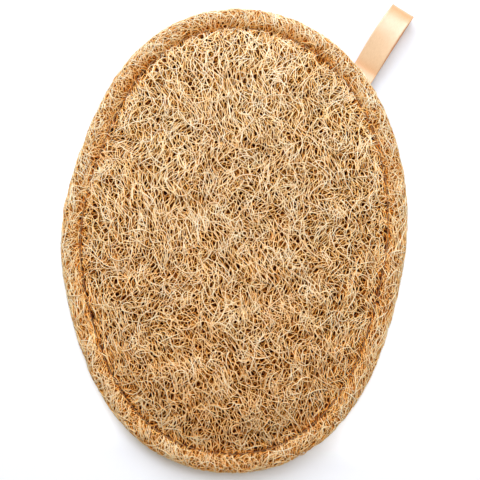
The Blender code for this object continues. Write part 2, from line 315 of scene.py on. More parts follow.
# Profiles of the two cloths beyond their inner part, from the middle outwards, as (inset, height)
inner_half = GROOVE_OUTER - RIM_MIDDLE
FACE_PROFILE = np.concatenate(
    [
        [(GROOVE_INNER, GROOVE_FLOOR), (GROOVE_OUTER, GROOVE_FLOOR)],
        quarter((RIM_MIDDLE, GROOVE_FLOOR), inner_half, RIM_TOP - GROOVE_FLOOR, 4, 90),
        quarter((RIM_MIDDLE, RIM_WIDEST), RIM_MIDDLE, RIM_TOP - RIM_WIDEST, 94, 180),
        [(TERRY_EDGE_INSET, FACE_HEM), (SEAM_NOTCH, FACE_FOLD[0])],
    ]
)
outer_half = RIM_MIDDLE - TERRY_EDGE_INSET
BACK_PROFILE = np.concatenate(
    [
        [(FLAT_BACK_INSET, 0), BACK_RISE, (GROOVE_INNER, BACK_STITCHED[0])],
        [(GROOVE_OUTER, BACK_STITCHED[0]), (RIM_MIDDLE + inner_half * 0.75, BACK_DIP)],
        quarter((RIM_MIDDLE, BACK_WIDEST), outer_half, BACK_WIDEST - RIM_SAG, 270, 180),
        [BACK_HEM, (SEAM_NOTCH, BACK_FOLD[1])],
    ]
)


def on_cloth(x, y, lift, profile, middle_height, side):
    """Points of a cloth laid out on a plan, lift above its outer skin.

    At the plan's angle, a distance up to the profile's first inset is the distance from the centre,
    at middle_height; the rest of it is length along the profile. Side is 1 for the upper cloth and
    -1 for the lower one, and the lift is along the skin's normal.
    """
    angle = np.arctan2(y, x)
    plan = np.hypot(x, y)
    heading = edge_normal(angle)
    lean = np.cos(heading - angle)
    inner = inset_radius(angle, profile[0, 0])
    run = run_along(*profile.T)
    slopes = np.gradient(profile, run, axis=0)
    past = np.clip((plan - inner) * lean, 0, run[-1])
    inset = np.interp(past, run, profile[:, 0])
    outside = plan > inner
    radius = np.where(outside, edge_radius(angle) - inset / lean, plan)
    step = 0.05 * MM
    level = middle_height(angle, np.minimum(plan, inner))
    before = middle_height(angle, np.maximum(np.minimum(plan, inner) - step, 0))
    height = np.where(outside, np.interp(past, run, profile[:, 1]), level)
    forward = np.where(outside, -np.interp(past, run, slopes[:, 0]), 1)
    upward = np.where(outside, np.interp(past, run, slopes[:, 1]), (level - before) / step / lean)
    size = np.hypot(forward, upward)
    push = -side * upward / size * lift
    return np.stack(
        [
            radius * np.cos(angle) + push * np.cos(heading),
            radius * np.sin(angle) + push * np.sin(heading),
            height + side * forward / size * lift,
        ],
        axis=-1,
    )


def flat_level(angle, radius):
    """Height of the flat middle of the back."""
    return np.zeros(np.shape(radius))


# Small lumps of the loose fibres on the crown
SMALL_LUMPS = random_waves(SCRIPT_SEED, 12, 6 * MM, 13 * MM, 0.16 * MM)


def past_groove(x, y):
    """Length along the face cloth beyond the groove's inner side, negative inside it."""
    angle = np.arctan2(y, x)
    lean = np.cos(edge_normal(angle) - angle)
    return (np.hypot(x, y) - inset_radius(angle, GROOVE_INNER)) * lean


def looseness(x, y):
    """Share of the mat's free depth: full on the crown, least in the groove, half on the rolled rim."""
    past = past_groove(x, y)
    crown = 1 - (1 - PRESSED) * bell(np.minimum(past, 0), *CROWN_PRESSED)
    rim = PRESSED + RIM_LOOSER * (rise(past, *RIM_LOOSENS) - rise(past, *SEAM_PRESSES))
    return np.where(past > 0, rim, crown)


def stitch_share(angle):
    """How far along its stitch a point at this angle lies, from 0 at a needle hole to 1 at the next."""
    angles, run = inset_run(STITCH_INSET, -np.pi)
    return np.interp(angle, angles, run) / run[-1] * round(run[-1] / STITCH_PITCH) % 1


def needle_hole(x, y):
    """1 at the needle holes' angles, falling to 0 beside them."""
    away = np.abs((stitch_share(np.arctan2(y, x)) + 0.5) % 1 - 0.5) * STITCH_PITCH
    return bell(away, 0, 0.8 * MM)


def on_face(x, y, lift):
    """Points over the loofah face.

    The lift shrinks where the mat is pressed, small lumps ride on the crown's large ones, and between
    its needle holes the groove swells up round the thread.
    """
    swell = GROOVE_SWELL - HOLE_DIP * needle_hole(x, y)
    swell = bell(past_groove(x, y), *GROOVE_SWOLLEN) * swell
    height = (lift + ripples(SMALL_LUMPS, x, y)) * looseness(x, y) + swell
    return on_cloth(x, y, height, FACE_PROFILE, crown_face, 1)


def on_back(x, y, lift):
    """Points over the terry back."""
    return on_cloth(x, y, lift, BACK_PROFILE, flat_level, -1)


def plan_edge(angle, profile):
    """The plan's distance from the centre at the end of a profile."""
    length = run_along(*profile.T)[-1]
    return inset_radius(angle, profile[0, 0]) + length / np.cos(edge_normal(angle) - angle)


def scatter(rng, pitch, profile, spare):
    """Points spread over a plan: a square grid of this pitch, each point moved at random in its cell."""
    margin = 12 * MM
    across = np.arange(-WIDTH / 2 - margin, WIDTH / 2 + margin, pitch)
    along = np.arange(-LENGTH / 2 - margin, LENGTH / 2 + margin, pitch)
    x, y = np.meshgrid(across, along)
    x = (x + rng.uniform(-0.5, 0.5, x.shape) * pitch).ravel()
    y = (y + rng.uniform(-0.5, 0.5, y.shape) * pitch).ravel()
    inside = np.hypot(x, y) < plan_edge(np.arctan2(y, x), profile) - spare
    return x[inside], y[inside]


def linear(colour):
    """Linear red, green, blue and alpha of an sRGB hex colour."""
    values = [int(colour[i : i + 2], 16) / 255 for i in (1, 3, 5)]
    return [v / 12.92 if v < 0.04045 else ((v + 0.055) / 1.055) ** 2.4 for v in values] + [1]


def add_node(tree, kind, settings=None, values=None, links=None, stops=()):
    """One node with its settings, the values of its input sockets, and links into those sockets.

    The stops are those of a colour ramp, as (place, hex colour).
    """
    node = tree.nodes.new(kind)
    for key, value in (settings or {}).items():
        setattr(node, key, value)
    for key, value in (values or {}).items():
        node.inputs[key].default_value = value
    for key, socket in (links or {}).items():
        tree.links.new(socket, node.inputs[key])
    for _ in stops[2:]:
        node.color_ramp.elements.new(1)
    for number, (place, colour) in enumerate(stops):
        node.color_ramp.elements[number].position = place
        node.color_ramp.elements[number].color = linear(colour)
    return node


def start_material(name, values):
    """Material with a Principled shader of these values, as (material, tree, shader)."""
    material = bpy.data.materials.new(name)
    material.use_nodes = True
    tree = material.node_tree
    shader = tree.nodes["Principled BSDF"]
    for key, value in values.items():
        shader.inputs[key].default_value = value
    return material, tree, shader


def point_colour(tree, value, stops):
    """Colour on these stops of a value that each point carries."""
    factor = add_node(tree, "ShaderNodeAttribute", {"attribute_name": value}).outputs["Fac"]
    return add_node(tree, "ShaderNodeValToRGB", links={"Fac": factor}, stops=stops).outputs["Color"]


def multiply_colours(tree, shader, first, second):
    """Gives the shader the product of two colours."""
    settings = {"data_type": "RGBA", "blend_type": "MULTIPLY"}
    mixed = add_node(tree, "ShaderNodeMix", settings, {"Factor": 1}, {"A": first, "B": second})
    tree.links.new(mixed.outputs["Result"], shader.inputs["Base Color"])


def yarn_material(name, finish, tones, shades):
    """Material whose colour is its points' tone colour times their depth colour, which is painted shade.
    """
    material, tree, shader = start_material(name, finish)
    tone = point_colour(tree, "tone", tones)
    multiply_colours(tree, shader, tone, point_colour(tree, "depth", shades))
    return material


def add_pattern(tree, shader, place, noise, bump, stops):
    """Noise over a place as the shader's colour and bump; gives the noise and the colour back."""
    pattern = add_node(tree, "ShaderNodeTexNoise", None, noise, {"Vector": place}).outputs["Fac"]
    band = add_node(tree, "ShaderNodeValToRGB", links={"Fac": pattern}, stops=stops)
    raised = add_node(tree, "ShaderNodeBump", None, bump, {"Height": pattern})
    tree.links.new(band.outputs["Color"], shader.inputs["Base Color"])
    tree.links.new(raised.outputs["Normal"], shader.inputs["Normal"])
    return pattern, band.outputs["Color"]


def make_mesh(name, points, corners, sizes):
    """Mesh from arrays of points, of the faces' corner numbers and of each face's number of corners."""
    mesh = bpy.data.meshes.new(name)
    mesh.vertices.add(len(points))
    mesh.vertices.foreach_set("co", np.asarray(points, np.float32).ravel())
    mesh.loops.add(len(corners))
    mesh.loops.foreach_set("vertex_index", np.asarray(corners, np.int32))
    mesh.polygons.add(len(sizes))
    starts = np.concatenate([[0], np.cumsum(sizes)[:-1]])
    mesh.polygons.foreach_set("loop_start", starts.astype(np.int32))
    mesh.update(calc_edges=True)
    mesh.validate()
    mesh.shade_smooth()
    return mesh


def add_object(name, data):
    """Object of a mesh, a lamp or a camera, put into the scene."""
    thing = bpy.data.objects.new(name, data)
    bpy.context.scene.collection.objects.link(thing)
    return thing


def add_piece(name, mesh, material, body):
    """Object of this mesh and material that rides on a body."""
    piece = add_object(name, mesh)
    mesh.materials.append(material)
    if body:
        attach(piece, body)
    return piece


def set_values(mesh, name, values):
    """Number on each point of a mesh."""
    attribute = mesh.attributes.new(name, "FLOAT", "POINT")
    attribute.data.foreach_set("value", np.asarray(values, np.float32).ravel())


def set_map(mesh, name, places):
    """UV map that puts each corner of a face at its point's place (u, v)."""
    corner = np.zeros(len(mesh.loops), np.int32)
    mesh.loops.foreach_get("vertex_index", corner)
    layer = mesh.uv_layers.new(name=name)
    layer.data.foreach_set("uv", places.reshape(-1, 2)[corner].astype(np.float32).ravel())


def tube_mesh(name, paths, up, radii, sides):
    """Closed tubes along many paths at once.

    Paths are (path, step, 3). At each step a ring of sides points stands square to the path, turned
    from the up vector, at that step's radius; each end is closed by one flat face.
    """
    count, steps = paths.shape[:2]
    ahead = np.gradient(paths, axis=1)
    ahead /= np.linalg.norm(ahead, axis=2, keepdims=True) + 1e-12
    across = np.cross(ahead, up)
    across /= np.linalg.norm(across, axis=2, keepdims=True) + 1e-12
    over = np.cross(across, ahead)
    turns = np.pi / 2 + 2 * np.pi * np.arange(sides) / sides
    ring = across[:, :, None] * np.cos(turns)[:, None] + over[:, :, None] * np.sin(turns)[:, None]
    points = paths[:, :, None] + ring * radii[:, :, None, None]
    number = np.arange(count * steps * sides).reshape(count, steps, sides)
    after = np.roll(number, -1, axis=2)
    walls = np.stack([number[:, :-1], after[:, :-1], after[:, 1:], number[:, 1:]], axis=-1)
    first = number[:, 0, ::-1]
    last = number[:, -1]
    corners = np.concatenate([walls.ravel(), first.ravel(), last.ravel()])
    sizes = np.concatenate([np.full(walls.size // 4, 4), np.full(2 * count, sides)])
    return make_mesh(name, points.reshape(-1, 3), corners, sizes)


# The grain of the mat: a plain weave of lines up the oval, slid into long swirls and then short ones
SWIRLS = random_waves(SCRIPT_SEED + 3, 8, 40 * MM, 90 * MM, 3.0 * MM)
SWIRLS += random_waves(SCRIPT_SEED + 1, 22, 8 * MM, 18 * MM, 0.9 * MM)

# Soft patches of lighter and darker tone
TONE_PATCHES = random_waves(SCRIPT_SEED + 5, 16, 9 * MM, 40 * MM, 0.03)


def slide(x, y, waves, way):
    """Plan points slid along the crests of one wave after another, which crowds nothing together."""
    for heading, length, phase, height in waves:
        wave = wave_at(x, y, heading, length, phase)
        x = x - way * height * wave * math.sin(heading)
        y = y + way * height * wave * math.cos(heading)
    return x, y


def swirl(x, y):
    """Points of the plain weave brought into the swirls."""
    return slide(x, y, SWIRLS, 1)


def grain(x, y):
    """Heading of the fibres over the plan: the direction that a line up the plain weave takes there."""
    u, v = slide(x, y, SWIRLS[::-1], -1)
    low_x, low_y = swirl(u, v - 0.2 * MM)
    high_x, high_y = swirl(u, v + 0.2 * MM)
    return np.arctan2(high_y - low_y, high_x - low_x)


def walk(rng, x, y, heading, length, steps, pull, curl):
    """Paths over the plan as (path, step, 2).

    Each path takes equal steps from (x, y). Before a step its heading turns part of the way towards
    the grain, by the share pull, plus its own steady curl in radians per metre and a small shake.
    One path in seven curls 2.2 times as strongly.
    """
    stride = length / steps
    own = rng.normal(0, 1, len(x)) * curl * np.where(rng.uniform(0, 1, len(x)) < 0.15, 2.2, 1)
    places = []
    for _ in range(steps + 1):
        places.append(np.stack([x, y], axis=1))
        away = np.sin(2 * (grain(x, y) - heading)) / 2
        heading = heading + pull * away + own * stride + rng.normal(0, 0.1, len(x))
        x = x + stride * np.cos(heading)
        y = y + stride * np.sin(heading)
    return np.stack(places, axis=1)


def honeycomb(rng, column, row, turn):
    """Nodes of a honeycomb net with long cells, and the nodes that its chains and links run through.

    Chains of nodes a row apart run up the net, a column apart. Every second node leans towards the
    next chain and is linked to it in 88 of 100 cases, which closes the cells. Each node is moved at
    random by about a sixth of its spacing, and the net is turned and slid into the swirls. A chain
    is given in stretches of three nodes and a link has two.
    """
    half = LENGTH / 2 + 26 * MM
    columns = int(half / column)
    rows = int(half / row)
    i, j = np.meshgrid(np.arange(-columns, columns), np.arange(-rows, rows))
    leaning = (i + j) % 2 == 0
    uneven = 0.17
    u = i * column + np.where(leaning, 1, -1) * column / 5 + rng.normal(0, uneven * column, i.shape)
    v = j * row + rng.normal(0, uneven * row, i.shape)
    x, y = swirl(u * math.cos(turn) - v * math.sin(turn), u * math.sin(turn) + v * math.cos(turn))
    number = np.arange(i.size).reshape(i.shape)
    linked = leaning[:, :-1] & (rng.uniform(0, 1, leaning[:, :-1].shape) < 0.88)
    even = 2 * ((len(number) - 1) // 2)
    chains = np.stack([number[first : even + first : 2] for first in range(3)], axis=-1).reshape(-1, 3)
    links = np.stack([number[:, :-1][linked], number[:, 1:][linked]], axis=1)
    return x.ravel(), y.ravel(), chains, links


def set_bake_place(mesh, tones, shaded_depths):
    """Tone and depth on the points of tubes, (path, step, side), and the map for baking made of them.

    The map has the tone along u and the depth along v, and sets a tube's sides and steps a little
    apart there, so that each face covers some of it.
    """
    set_values(mesh, "tone", tones)
    set_values(mesh, "depth", shaded_depths)
    sides = np.arange(3) * 0.5
    parity = (np.arange(tones.shape[1]) % 2)[:, None]
    place = np.stack([0.01 + 0.96 * tones + 0.012 * sides, 0.01 + 0.95 * shaded_depths + 0.02 * parity], -1)
    set_map(mesh, "OFBake", place)


def fibre_piece(name, plans, lifts, widths, tones, girth, crease_shaded=1):
    """Fibres along paths over the face's plan, as one piece that carries their tone and depth.

    Each fibre is a three-sided tube whose width follows girth along it. The depth is 0 at the bottom
    of the mat and 1 at its top, and it sets painted shade: less on the rim, more on the slope beyond
    the groove, and, unless the last argument is 0, more where the fibre runs through the creased
    groove, most at the needle holes and less up the oval. The tone grows up the oval as painted light,
    with soft patches, and falls on the rim and, as painted shade, on the slope. A fibre's ridge has a
    lighter tone, a painted highlight, and its two lower edges a darker tone and depth, painted shade.
    The map for baking places a face by tone and depth alone.
    """
    x = plans[..., 0]
    y = plans[..., 1]
    paths = on_face(x, y, lifts)
    up = on_face(x, y, lifts + 0.5 * MM) - paths
    past = past_groove(x, y)
    rim = rise(past, *RIM_BEGINS)
    radii = widths[:, None] / 2 * girth * (1 - 0.2 * rim)
    mesh = tube_mesh(name, paths, up, radii, 3)
    high = y / (LENGTH / 2)
    slope = bell(past, *SLOPE_SHADE_BELL)
    # Painted shade: along the creased groove, weaker up the oval and most at the needle holes, on the
    # slope beyond it, and less of it on the rim
    crease_shade = bell(past, *CREASE_SHADE_BELL) * (1 - 0.5 * np.clip(high, 0, 1))
    depth = rise(lifts, -MAT_DEPTH, MAT_DEPTH + 0.2 * MM)
    depth = depth + RIM_SHADE_EASE * (1 - depth) * rim
    depth = depth * (1 - crease_shaded * (CREASE_PAINTED_SHADE + HOLE_PAINTED_SHADE * needle_hole(x, y)) * crease_shade)
    depth = np.clip(depth - SLOPE_PAINTED_SHADE * slope, 0, 1)
    # Tone: soft random patches, painted light up the oval and a fall on the rim, then painted shade on
    # the slope and on the rim up the oval, a painted highlight on each ridge and painted shade below it
    tones = tones[:, None] + ripples(TONE_PATCHES, x, y) + TOP_PAINTED_LIGHT * high - RIM_TONE * rim
    tones = tones - SLOPE_SHADE_TONE * (high * rim + (1 + high) * slope)
    tones = np.clip(tones[..., None] + EDGE_HIGHLIGHT_SHADE_TONES, 0, 1)
    shaded_depths = np.clip(depth[..., None] - (1 - 0.4 * rim)[..., None] * EDGE_PAINTED_SHADES, 0, 1)
    set_bake_place(mesh, tones, shaded_depths)
    add_piece(name, mesh, fibre_material, "pad")


# Dried loofah gourd, pressed flat: a dry woody fibre from golden to cream. The cream end carries the
# painted highlight of the fibres' ridges, and the depth ramp is painted shade, dark brown low in the
# mat and white on top
fibre_material = yarn_material(
    "dried_loofah_fibre",
    {"Roughness": 0.5, "IOR": 1.45, "Specular IOR Level": 0.25},
    [(0, "#CC8430"), (0.25, "#F1B15A"), (0.5, "#FBE1AC"), (0.75, "#F9F5E6"), (1, "#F8FBF6")],
    [(0, "#1E0A02"), (0.14, "#4A1E02"), (0.28, "#BE5E06"), (0.42, "#FCA83C")]
    + [(0.58, "#FFD67E"), (0.82, "#FDF5E0"), (1, "#FFFFFF")],
)


def arch(steps):
    """Rises from 0 at both ends of a path to 1 over most of its middle."""
    return 1 - np.abs(np.linspace(-1, 1, steps)) ** 3


def taper(steps):
    """Share of a single fibre's width along it: full in the middle, three quarters at its ends."""
    return 0.7 + 0.3 * np.sin(np.pi * np.linspace(0.05, 0.95, steps))


def make_net(name, seed, turn, tone, column, row, level, unevenness, width):
    """One layer of the fibre net, whose chains and links meet at shared nodes, as two pieces."""
    rng = np.random.default_rng(seed)
    x, y, chains, links = honeycomb(rng, column, row, turn)
    inside = np.hypot(x, y) < plan_edge(np.arctan2(y, x), FACE_PROFILE) - 0.6 * MM
    lift = level + unevenness * rng.normal(0, 1, len(x))
    thickness = rng.uniform(0.75, 1.3, len(x))
    for part, runs in (("chains", chains), ("links", links)):
        runs = runs[inside[runs].all(axis=1)]
        tones = tone + rng.normal(0, 0.06, len(runs))
        widths = width * rng.uniform(0.8, 1.15, len(runs))
        plans = np.stack([x[runs], y[runs]], axis=-1)
        fibre_piece(f"{name}_{part}", plans, lift[runs], widths, tones, thickness[runs])


def make_strands(name, seed, steps, pull, curl, spread, tone, pitch, length, low, high, width):
    """One layer of single fibres that follow the grain and dive into the mat at both ends."""
    rng = np.random.default_rng(seed)
    x, y = scatter(rng, pitch, FACE_PROFILE, 0.8 * MM)
    count = len(x)
    heading = grain(x, y) + rng.normal(0, spread, count) + np.pi * rng.integers(0, 2, count)
    lengths = length * rng.uniform(0.55, 1.45, count)
    plans = walk(rng, x, y, heading, lengths, steps, pull, curl)
    tops = high + rng.normal(0, 0.12 * MM, count)
    lifts = low + (tops - low)[:, None] * arch(steps + 1)
    widths = width * rng.uniform(0.72, 1.25, count)
    tones = tone + rng.normal(0, 0.1, count)
    fibre_piece(name, plans, lifts, widths, tones, taper(steps + 1))
    return plans, lifts, tones


def make_branches(name, seed, parents, count, width):
    """Fibres that leave a fibre of another layer part of the way along it and sink into the mat."""
    plans, lifts, tones = parents
    rng = np.random.default_rng(seed)
    pick = rng.integers(0, len(plans), count)
    at = rng.integers(2, plans.shape[1] - 2, count)
    start = plans[pick, at]
    ahead = plans[pick, at + 1] - start
    turn = rng.choice([-1, 1], count) * rng.uniform(0.4, 1.1, count)
    heading = np.arctan2(ahead[:, 1], ahead[:, 0]) + turn
    steps = 6
    lengths = rng.uniform(2.5, 6, count) * MM
    branches = walk(rng, start[:, 0], start[:, 1], heading, lengths, steps, 0.15, 150)
    first = lifts[pick, at][:, None]
    falls = first + (-0.8 * MM - first) * np.linspace(0, 1, steps + 1) ** 2.2
    widths = width * rng.uniform(0.7, 1.2, count)
    tones = tones[pick] + rng.normal(0, 0.06, count)
    fibre_piece(name, branches, falls, widths, tones, np.linspace(1, 0.6, steps + 1))


def make_bridges(name, seed, count, width, tone):
    """Fibres that cross the groove from the crown to the rim and lie over it, most of them at the top.

    They are lifted 2.4 mm where they cross the groove.
    """
    rng = np.random.default_rng(seed)
    angle = np.pi / 2 + rng.normal(0, 1.1, count)
    radius = inset_radius(angle, STITCH_INSET) - rng.uniform(0.5, 5, count) * MM
    heading = edge_normal(angle) + rng.normal(0, 0.8, count)
    steps = 9
    lengths = rng.uniform(5, 9.5, count) * MM
    plans = walk(rng, radius * np.cos(angle), radius * np.sin(angle), heading, lengths, steps, 0.05, 150)
    raised = 2.4 * MM * bell(past_groove(plans[..., 0], plans[..., 1]), *BRIDGE_CREST)
    lifts = -0.5 * MM + 0.65 * MM * arch(steps + 1) + raised
    widths = width * rng.uniform(0.75, 1.25, count)
    tones = tone + rng.normal(0, 0.1, count)
    fibre_piece(name, plans, lifts, widths, tones, taper(steps + 1), 0)


def make_fibres():
    """The fibres, layer by layer; the branches leave the strands of the last layer."""
    for name, seed, turn, tone, sizes in NETS:
        make_net(f"loofah_net_{name}", SCRIPT_SEED + seed, turn, tone, *(size * MM for size in sizes))
    for name, seed, *ways, sizes in STRANDS:
        sizes = [size * MM for size in sizes]
        parents = make_strands(f"loofah_strands_{name}", SCRIPT_SEED + seed, *ways, *sizes)
    make_branches("loofah_strands_branches", SCRIPT_SEED + 17, parents, 1500, 0.38 * MM)
    make_bridges("loofah_strands_over_groove", SCRIPT_SEED + 20, 170, 0.44 * MM, 0.56)


make_fibres()


def ring_mesh(name, rings, first_pole, last_pole):
    """Closed skin through rings of points, (ring, point, 3), with a point at each pole."""
    count, around = rings.shape[:2]
    points = np.concatenate([rings.reshape(-1, 3), [first_pole], [last_pole]])
    number = np.arange(count * around).reshape(count, around)
    after = np.roll(number, -1, axis=1)
    walls = np.stack([number[:-1], number[1:], after[1:], after[:-1]], axis=-1)
    first = np.stack([np.full(around, count * around), number[0], after[0]], axis=-1)
    last = np.stack([np.full(around, count * around + 1), after[-1], number[-1]], axis=-1)
    corners = np.concatenate([walls.ravel(), first.ravel(), last.ravel()])
    sizes = np.concatenate([np.full(walls.size // 4, 4), np.full(2 * around, 3)])
    return make_mesh(name, points, corners, sizes)


def tangle_material(name, scale, stops, roughness, bump_height, rolled=None):
    """Matt material of matted threads: noise of so many cells to a metre, as colour and as bump.

    Where the points' attribute "rolled" is 1 the colour stops rolled take the place of the others.
    """
    finish = {"Roughness": roughness, "IOR": 1.45, "Specular IOR Level": 0.2}
    material, tree, shader = start_material(name, finish)
    place = add_node(tree, "ShaderNodeTexCoord").outputs["Object"]
    noise = {"Scale": scale, "Detail": 3, "Roughness": 0.6}
    bump = {"Strength": 0.8, "Distance": bump_height}
    tangle, colour = add_pattern(tree, shader, place, noise, bump, stops)
    if rolled:
        share = add_node(tree, "ShaderNodeAttribute", {"attribute_name": "rolled"}).outputs["Fac"]
        band = add_node(tree, "ShaderNodeValToRGB", links={"Fac": tangle}, stops=rolled)
        over = {"Factor": share, "A": colour, "B": band.outputs["Color"]}
        mixed = add_node(tree, "ShaderNodeMix", {"data_type": "RGBA"}, links=over)
        tree.links.new(mixed.outputs["Result"], shader.inputs["Base Color"])
    return material


def ring_points(angles, inset, height):
    """Ring at an inset and a height."""
    return np.stack([*inset_curve(angles, inset), np.broadcast_to(height, angles.shape)], axis=1)


def ribbon_part(angles):
    """1 where the ribbon passes through the seam, falling to 0 over 4.6 mm beside it."""
    away = np.abs(np.angle(np.exp(1j * (angles - LOOP_PLACE)))) * inset_radius(angles, 0)
    return np.clip(1.9 - away / (4.6 * MM), 0, 1)


def crown_under(angles, share):
    """Ring of the mat's underside, a share of the way from the groove to the middle."""
    radius = inset_radius(angles, GROOVE_INNER) * (1 - share)
    squeeze = np.clip(1 - share / SQUEEZED_SHARE, 0, 1)
    height = crown_top(angles, radius) - LOOFAH_FREE + (LOOFAH_FREE - LOOFAH_STITCHED) * squeeze
    return np.stack([radius * np.cos(angles), radius * np.sin(angles), height], 1)


def plan_rings(angles, profile, inner_shares, outer_shares):
    """Plan places (x, y) of rings from the middle to the end of a profile."""
    inner = inset_radius(angles, profile[0, 0])
    outer = plan_edge(angles, profile) - inner
    plan = np.concatenate([np.outer(inner_shares, inner), inner + np.outer(outer_shares, outer)])
    return plan * np.cos(angles), plan * np.sin(angles)


def cloth_rings(angles, skin, parted, inside):
    """Rings of a cloth's outer skin and on round its folded edge to the inside, (inset, height) there.

    The edge is parted from the other cloth's by this much, where the ribbon goes through the seam.
    """
    skin[-1, :, 2] += parted
    skin[-2, :, 2] += parted * 0.7
    return np.concatenate([skin, [ring_points(angles, *place) for place in inside]])


def make_mat():
    """The pressed core of the mat under its loose fibres, with the rolled rim and the folded edge."""
    angles = np.linspace(0, 2 * np.pi, 360, endpoint=False)
    inner = np.concatenate([np.linspace(0.03, 0.9, 26), np.linspace(0.92, 1, 8)])
    x, y = plan_rings(angles, FACE_PROFILE, inner, np.linspace(0.02, 1, 40))
    skin = on_face(x, y, np.full(x.shape, -MAT_DEPTH))
    lifted = SEAM_PARTING * ribbon_part(angles)
    inside = [
        (FOLD_END, FACE_FOLD[0] + lifted),
        (FOLD_END, FACE_FOLD[1] + lifted),
        (RIM_MIDDLE, FACE_FOLD[1] + lifted),
        (LOOFAH_ROLLED + 0.4 * MM, FACE_FOLD[1] + 0.4 * MM),
        (RIM_MIDDLE, RIM_TOP - LOOFAH_ROLLED),
        (GROOVE_OUTER, FACE_STITCHED_LOW),
        (GROOVE_INNER, FACE_STITCHED_LOW),
    ]
    under = [crown_under(angles, share) for share in (SQUEEZED_SHARE / 2, SQUEEZED_SHARE, 0.2, 0.4, 0.7)]
    rings = np.concatenate([cloth_rings(angles, skin, lifted, inside), under])
    mesh = ring_mesh("loofah_mat", rings, (0, 0, THICKNESS - MAT_DEPTH), (0, 0, THICKNESS - LOOFAH_FREE))
    # Loofah fibre matted together: its dark brown between the fibres of the crown is painted shade, with
    # less of it, paler, on the rolled rim
    stops = [(0.3, "#1C0A02"), (0.5, "#3C1A06"), (0.62, "#64330F"), (0.75, "#90551E")]
    rim_stops = [(0.3, "#47250B"), (0.5, "#7C4A1C"), (0.7, "#AA7234")]
    material = tangle_material("loofah_mat_painted_shade", 0.9 / MM, stops, 0.85, 0.4 * MM, rim_stops)
    past = past_groove(rings[..., 0], rings[..., 1])
    past[: len(skin)] = past_groove(x, y)
    rolled = rise(past, 1.2 * MM, 1.2 * MM)
    set_values(mesh, "rolled", np.concatenate([rolled.ravel(), [0, 0]]))
    piece = add_piece("loofah_mat", mesh, material, "pad")
    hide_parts("loofah_face")


make_mat()


def make_foam():
    """Soft foam lens that fills the pad between the two cloths, inside their folded edges."""
    angles = np.linspace(0, 2 * np.pi, 120, endpoint=False)
    floor = TERRY_FREE + GAP
    edge = FOLD_END + 2 * GAP
    rings = [ring_points(angles, inset, floor) for inset in (50 * MM, 40 * MM, 28 * MM, FLAT_BACK_INSET)]
    rings.append(ring_points(angles, edge, floor + BACK_STITCHED[1] - TERRY_FREE))
    under = np.array([crown_under(angles, share) for share in np.linspace(0.045, 0.9, 18)])
    under[..., 2] -= 1.5 * GAP
    rings = np.concatenate([rings, under])
    top = (0, 0, THICKNESS - LOOFAH_FREE - 1.5 * GAP)
    mesh = ring_mesh("foam_filling", rings[::-1], top, (0, 0, floor))
    # Polyurethane foam as cast and cut: cream, matt and finely pored
    stops = [(0.35, "#E2D29A"), (0.5, "#F0E4B6"), (0.65, "#F7EECB")]
    material = tangle_material("open_cell_polyurethane_foam", 1.4 / MM, stops, 0.9, 0.3 * MM)
    piece = add_piece("foam_filling", mesh, material, "pad")
    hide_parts("foam_core")


make_foam()


def make_terry():
    """Terry back's ground cloth: flat where it rests and rolled at the rim."""
    angles = np.linspace(0, 2 * np.pi, 240, endpoint=False)
    x, y = plan_rings(angles, BACK_PROFILE, np.linspace(0.04, 1, 24), np.linspace(0.03, 1, 30))
    skin = on_back(x, y, np.full(x.shape, -TERRY_PILE))
    lowered = -SEAM_PARTING * ribbon_part(angles)
    inside = [
        (FOLD_END, BACK_FOLD[1] + lowered),
        (FOLD_END, BACK_FOLD[0] + lowered),
        (RIM_MIDDLE, BACK_FOLD[0] + lowered),
        (TERRY_ROLLED + 0.8 * MM, BACK_FOLD[0]),
        (RIM_MIDDLE, RIM_SAG + TERRY_ROLLED),
        (GROOVE_OUTER, BACK_STITCHED[1]),
        (GROOVE_INNER, BACK_STITCHED[1]),
        ((GROOVE_INNER + FLAT_BACK_INSET) / 2, TERRY_FREE + (BACK_STITCHED[1] - TERRY_FREE) * 0.3),
        (FLAT_BACK_INSET, TERRY_FREE),
        (45 * MM, TERRY_FREE),
    ]
    rings = cloth_rings(angles, skin, lowered, inside)
    mesh = ring_mesh("terry_ground_cloth", rings[::-1], (0, 0, TERRY_FREE), (0, 0, TERRY_PILE))
    # Woven cotton ground: undyed, matt and a little darker than the loops over it
    stops = [(0.35, "#BE9E78"), (0.5, "#DEC4A4"), (0.65, "#EDD9C0")]
    material = tangle_material("cotton_ground_weave", 1.5 / MM, stops, 0.95, 0.2 * MM)
    piece = add_piece("terry_ground_cloth", mesh, material, "pad")
    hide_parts("terry_back")


